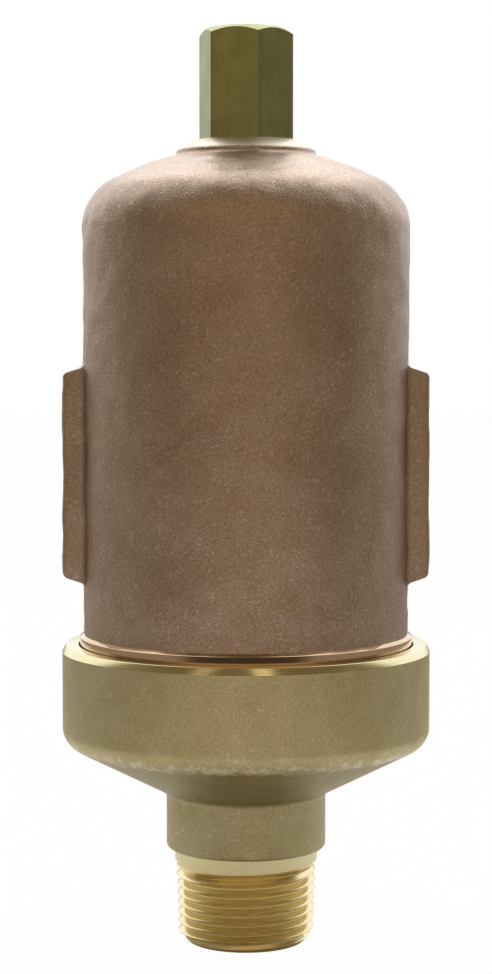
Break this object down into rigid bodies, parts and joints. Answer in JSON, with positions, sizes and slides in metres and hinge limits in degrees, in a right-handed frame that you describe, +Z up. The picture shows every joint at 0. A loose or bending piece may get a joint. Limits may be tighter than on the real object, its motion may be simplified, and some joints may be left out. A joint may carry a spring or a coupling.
{
  "type": "air release valve",
  "caption": "Float-operated air release valve: cast bell with wrench lugs on a collar with a taper pipe shank, and a hexagon vent fitting with a drain port on top.",
  "frame": {"origin": "middle of the pipe shank's end face", "axes": "+Z up along the valve's axis to the vent fitting; the wrench lugs lie along X; the picture looks along +Y"},
  "size_m": [0.0704, 0.0704, 0.1741],
  "materials": {
    "cast_bronze": "sand cast, matte brown",
    "collar_brass": "tumbled, matte khaki",
    "hex_brass": "drawn bar, satin",
    "gasket_fibre": "matte fibre",
    "stainless": "turned",
    "ptfe": "matte",
    "guide_brass": "turned",
    "spring_steel": "oiled",
    "float_steel": "drawn and polished",
    "tip_rubber": "matte"
  },
  "bodies": {
    "valve_body": {"bell_body": "cast_bronze", "base_collar": "collar_brass", "body_gasket": "gasket_fibre", "vent_fitting": "hex_brass", "valve_seat": "stainless", "seat_gasket": "ptfe", "pin_guide": "guide_brass", "guide_spider": "stainless", "guide_bush": "ptfe", "spider_snap_ring": "spring_steel"},
    "float": {"float_upper_shell": "float_steel", "float_lower_shell": "float_steel", "float_seam_ring": "float_steel", "float_top_boss": "stainless", "float_bottom_boss": "stainless", "valve_pin": "stainless", "pin_tip": "tip_rubber", "pin_locknut": "stainless", "guide_stem": "stainless", "stem_clip": "spring_steel"}
  },
  "joints": [
    {"name": "float_rise", "type": "slide", "parent": "valve_body", "child": "float", "axis": [0, 0, 1], "range_m": [0, 0.006]}
  ]
}
